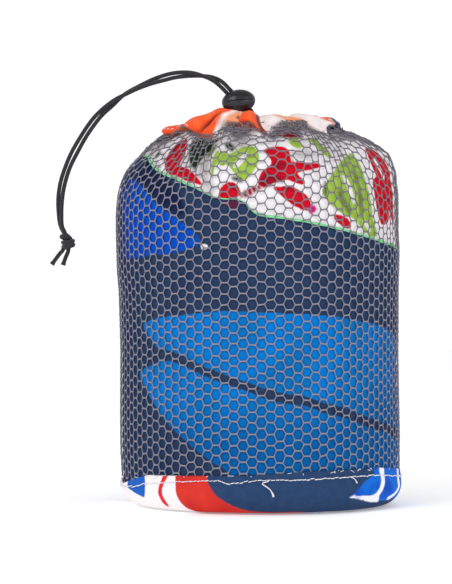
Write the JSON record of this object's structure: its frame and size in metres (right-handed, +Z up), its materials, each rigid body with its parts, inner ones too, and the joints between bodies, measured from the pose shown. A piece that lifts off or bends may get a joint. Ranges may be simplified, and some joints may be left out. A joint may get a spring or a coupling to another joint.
{
  "type": "quick dry towel in drawstring mesh bag",
  "caption": "Rolled printed quick-dry towel in a round mesh drawstring bag with fabric base, gathered neck channel, doubled drawcord, sprung cord lock and end knot.",
  "frame": {"origin": "centre of the round base, on the surface the bag stands on", "axes": "+Z up along the towel roll, -Y towards the viewer with the cord lock in front, +X to the viewer's right"},
  "size_m": [0.1893, 0.1544, 0.2345],
  "materials": {
    "towel_cloth": "soft short-pile printed microfibre, navy and blue leaf print outside, floral print inside",
    "hem_thread": "overlocked mint edge",
    "mesh_yarn": "grey knitted hexagonal mesh with a slight sheen",
    "printed_fabric": null,
    "sewing_thread": "white polyester sewing thread",
    "buttonhole_thread": "dense orange satin stitch",
    "cord": "braided charcoal elastic cord",
    "lock_plastic": "satin black moulded plastic",
    "spring_steel": "plain spring wire"
  },
  "bodies": {
    "bag": {"towel_roll": "towel_cloth", "towel_hem_edging": "hem_thread", "mesh_wall": "mesh_yarn", "side_seam": "mesh_yarn", "side_seam_thread": "sewing_thread", "base_panel": "printed_fabric", "base_band": "printed_fabric", "base_seam_allowance": "printed_fabric", "base_topstitch": "sewing_thread", "thread_tails": "sewing_thread", "neck_channel": "printed_fabric", "channel_topstitch": "sewing_thread", "neck_seam": "mesh_yarn", "channel_buttonhole": "buttonhole_thread", "drawcord_loop": "cord", "drawcord_strand_a": "cord", "drawcord_strand_b": "cord", "end_knot": "cord", "cord_tail_a": "cord", "cord_tail_b": "cord"},
    "cord_lock": {"cord_lock_barrel": "lock_plastic", "cord_lock_spring": "spring_steel"},
    "lock_button": {"cord_lock_plunger": "lock_plastic"}
  },
  "joints": [
    {"name": "cord_lock_slide", "type": "slide", "parent": "bag", "child": "cord_lock", "axis": [-0.7071, 0, 0.7071], "range_m": [0, 0.006]},
    {"name": "cord_lock_press", "type": "slide", "parent": "cord_lock", "child": "lock_button", "axis": [0, -1, 0], "range_m": [0, 0.002], "stiffness_N_per_m": 500, "springref_m": -0.002, "deforming": ["cord_lock_spring"]}
  ]
}
